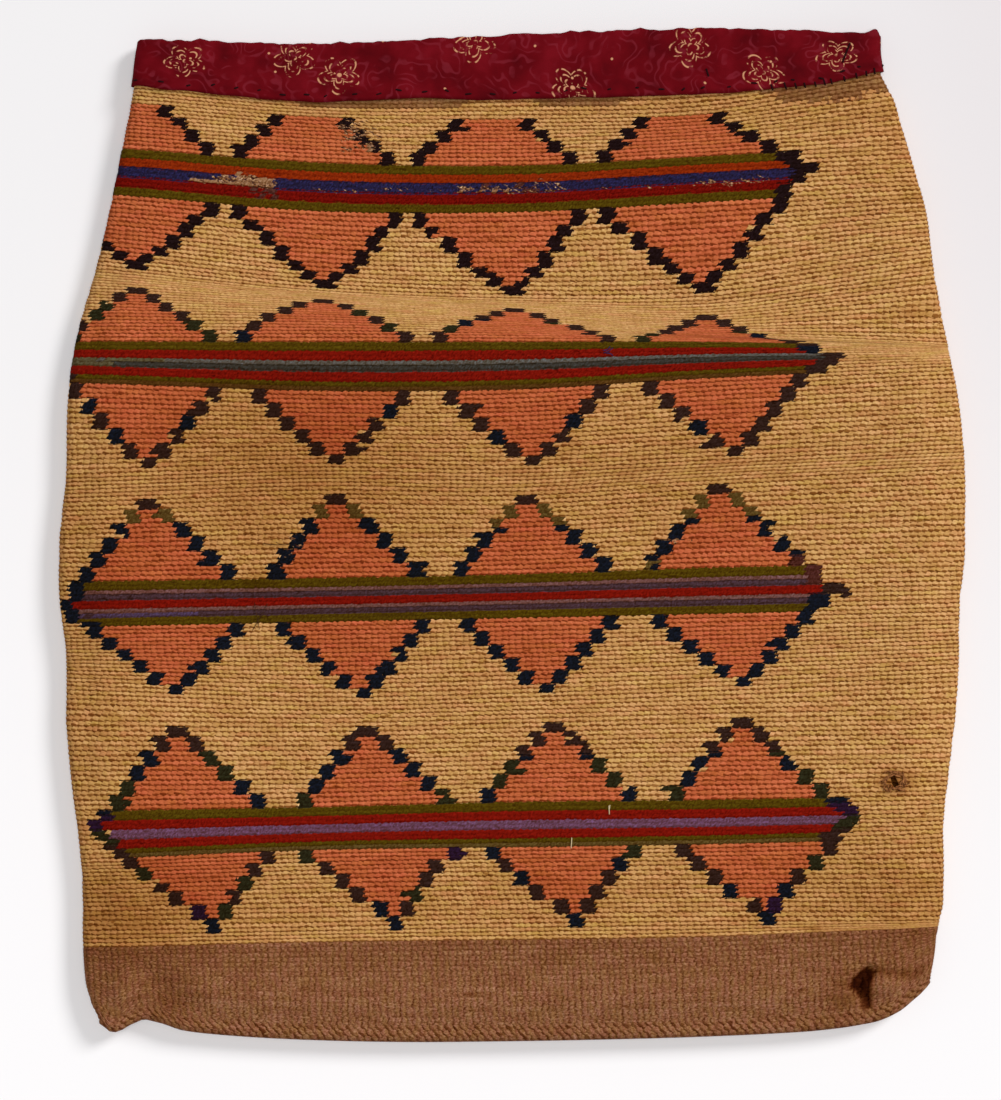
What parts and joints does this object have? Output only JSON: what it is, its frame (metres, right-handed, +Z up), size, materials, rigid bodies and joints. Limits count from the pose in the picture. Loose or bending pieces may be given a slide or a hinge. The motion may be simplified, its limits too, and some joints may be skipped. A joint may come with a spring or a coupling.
{
  "type": "corn husk bag",
  "caption": "Flat twined pouch of plant husk and wool yarn with bands of stepped diamonds and stripes, open at the top, its rim bound with a folded cotton strip.",
  "frame": {"origin": "middle of the bag's footprint, on the surface that its back lies on", "axes": "+Y from the bottom fold to the mouth, +Z up out of the decorated front, +X to the right seen from the front"},
  "size_m": [0.45, 0.504, 0.0159],
  "materials": {
    "twined_body": "twined husk and wool yarn, matt",
    "mouth_binding": "dark red printed cotton, matt",
    "seam_thread": "dark sewing thread"
  },
  "bodies": {
    "root": {"twined_body": "twined_body", "mouth_binding": "mouth_binding", "seam_thread": "seam_thread"}
  },
  "joints": []
}
